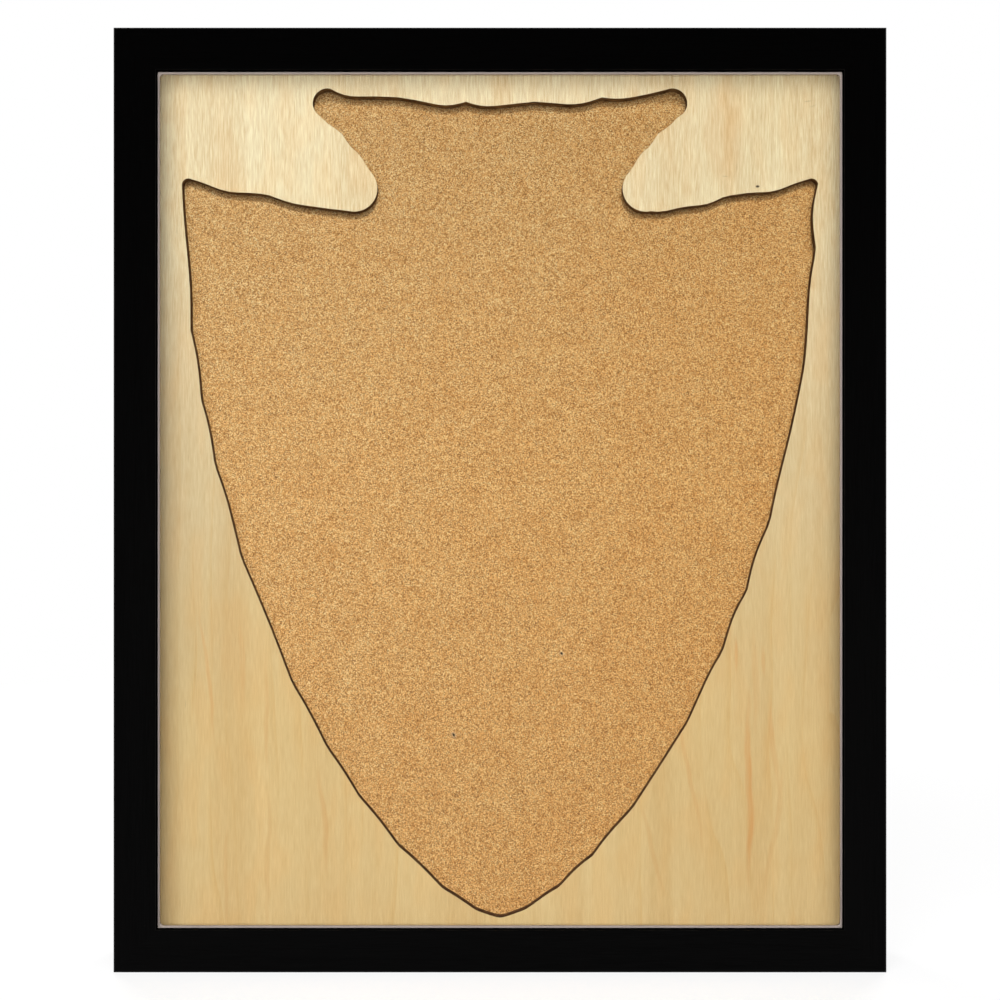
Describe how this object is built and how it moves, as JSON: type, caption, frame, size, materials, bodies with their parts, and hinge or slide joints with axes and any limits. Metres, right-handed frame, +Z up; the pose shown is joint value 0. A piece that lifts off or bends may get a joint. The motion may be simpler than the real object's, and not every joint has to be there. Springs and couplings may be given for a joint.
{
  "type": "pin display case",
  "caption": "Shallow black wooden wall case with a glazed hinged door and a cork pin field behind a pale plywood panel cut out as a notched stone point.",
  "frame": {"origin": "under the middle of the case, on the surface that it stands on", "axes": "+X is to the right seen from the front, +Y goes from the front to the wall, +Z is up"},
  "size_m": [0.461, 0.0486, 0.5588],
  "materials": {
    "black_wood": "satin black lacquer",
    "retainer_wood": "matt black stain",
    "zinc_steel": "bright zinc plating",
    "hinge_brass": "drawn brass, slightly dulled",
    "nickel": "nickel plating",
    "glass": "clear picture glass",
    "gasket": "pale translucent gasket",
    "birch_ply": "sanded birch plywood, laser cut edges",
    "cork": "pressed fine-grain cork",
    "backing": "soft fibreboard",
    "hardboard": "smooth brown hardboard",
    "bumper_rubber": "matt moulded rubber"
  },
  "bodies": {
    "case": {"case_top": "black_wood", "case_bottom": "black_wood", "case_side_left": "black_wood", "case_side_right": "black_wood", "case_corner_nails": "zinc_steel", "fascia_panel": "birch_ply", "cork_sheet": "cork", "pin_backing": "backing", "back_panel": "hardboard", "back_points": "zinc_steel", "hinge_upper_case_leaf": "hinge_brass", "hinge_lower_case_leaf": "hinge_brass", "hinge_upper_pin": "hinge_brass", "hinge_lower_pin": "hinge_brass", "hinge_case_screws": "hinge_brass", "catch_magnets": "nickel", "hanger_strap_left": "nickel", "hanger_strap_right": "nickel", "hanger_screws": "nickel", "wall_bumpers": "bumper_rubber"},
    "door": {"door_rail_top": "black_wood", "door_rail_bottom": "black_wood", "door_rail_left": "black_wood", "door_rail_right": "black_wood", "door_corner_nails": "zinc_steel", "door_glazing": "glass", "glazing_gasket": "gasket", "retainer_top": "retainer_wood", "retainer_bottom": "retainer_wood", "retainer_left": "retainer_wood", "retainer_right": "retainer_wood", "retainer_brads": "zinc_steel", "strike_plates": "zinc_steel", "strike_screws": "zinc_steel", "hinge_upper_door_leaf": "hinge_brass", "hinge_lower_door_leaf": "hinge_brass", "hinge_door_screws": "hinge_brass"},
    "ring_left": {"d_ring_left": "nickel"},
    "ring_right": {"d_ring_right": "nickel"}
  },
  "joints": [
    {"name": "door_hinge", "type": "hinge", "parent": "case", "child": "door", "pos_m": [-0.2298, -0.0088, 0.2794], "axis": [0, 0, -1], "range_deg": [0, 180]},
    {"name": "ring_left_swing", "type": "hinge", "parent": "case", "child": "ring_left", "pos_m": [-0.2207, 0.022, 0.4088], "axis": [1, 0, 0], "range_deg": [0, 180]},
    {"name": "ring_right_swing", "type": "hinge", "parent": "case", "child": "ring_right", "pos_m": [0.2207, 0.022, 0.4088], "axis": [1, 0, 0], "range_deg": [0, 180]}
  ]
}
